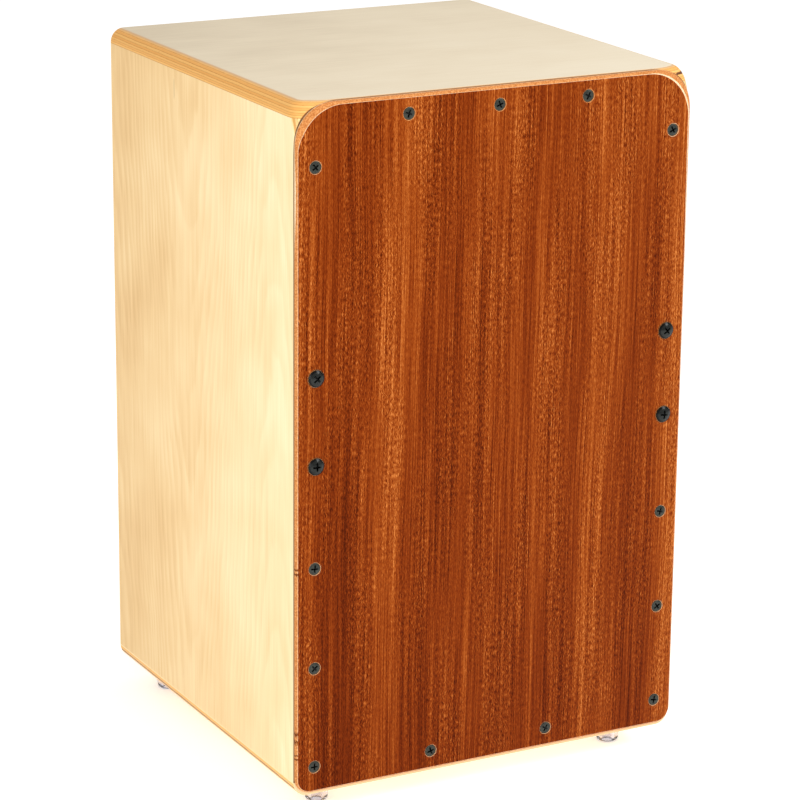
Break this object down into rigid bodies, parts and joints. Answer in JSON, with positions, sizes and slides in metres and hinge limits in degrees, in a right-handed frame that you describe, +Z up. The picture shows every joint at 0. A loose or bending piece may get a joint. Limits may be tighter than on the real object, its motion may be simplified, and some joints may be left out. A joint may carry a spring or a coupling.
{
  "type": "snare cajon",
  "caption": "Box drum of birch plywood with a thin mahogany-faced playing plate screwed to its front, a rear sound hole and a turning snare bar inside.",
  "frame": {"origin": "on the floor, under the middle of the whole object's box", "axes": "+Z up along the height, the playing plate faces -Y, +X is to the right as a listener faces the plate"},
  "size_m": [0.3, 0.3026, 0.498],
  "materials": {
    "seat_ply": "matt lacquered plywood seat with bare rounded ply edges",
    "birch_ply": "satin lacquered birch plywood",
    "back_ply": "satin lacquered thin birch plywood",
    "mahogany_plate": "satin mahogany veneer on thin plywood",
    "pine": "raw planed softwood",
    "beech": "raw sanded beech",
    "black_screws": "black oxide, satin",
    "black_bolts": "black oxide, glossy",
    "brass_inserts": "bright",
    "zinc_steel": "bright zinc plated",
    "clip_steel": "brushed",
    "wire_steel": "bright drawn wire",
    "clear_rubber": "clear soft polyurethane"
  },
  "bodies": {
    "cajon_box": {"top_panel": "seat_ply", "bottom_panel": "birch_ply", "left_side_panel": "birch_ply", "right_side_panel": "birch_ply", "back_panel": "back_ply", "front_plate": "mahogany_plate", "front_batten_left": "pine", "front_batten_right": "pine", "front_batten_top": "pine", "front_batten_bottom": "pine", "rear_batten_left": "pine", "rear_batten_right": "pine", "rear_batten_top": "pine", "rear_batten_bottom": "pine", "front_plate_screws": "black_screws", "snare_block_bolts": "black_bolts", "snare_block_inserts": "brass_inserts", "snare_block_left": "beech", "snare_block_right": "beech", "snare_lock_screws": "zinc_steel", "foot_front_left": "clear_rubber", "foot_front_right": "clear_rubber", "foot_rear_left": "clear_rubber", "foot_rear_right": "clear_rubber", "foot_washers": "zinc_steel", "foot_screws": "zinc_steel"},
    "snare": {"snare_bar": "beech", "snare_clip_left": "clip_steel", "snare_clip_right": "clip_steel", "snare_wires_left": "wire_steel", "snare_wires_right": "wire_steel", "snare_clip_screws": "zinc_steel"}
  },
  "joints": [
    {"name": "snare_bar_turn", "type": "hinge", "parent": "cajon_box", "child": "snare", "pos_m": [0, -0.111, 0.2835], "axis": [-1, 0, 0], "range_deg": [0, 25]}
  ]
}
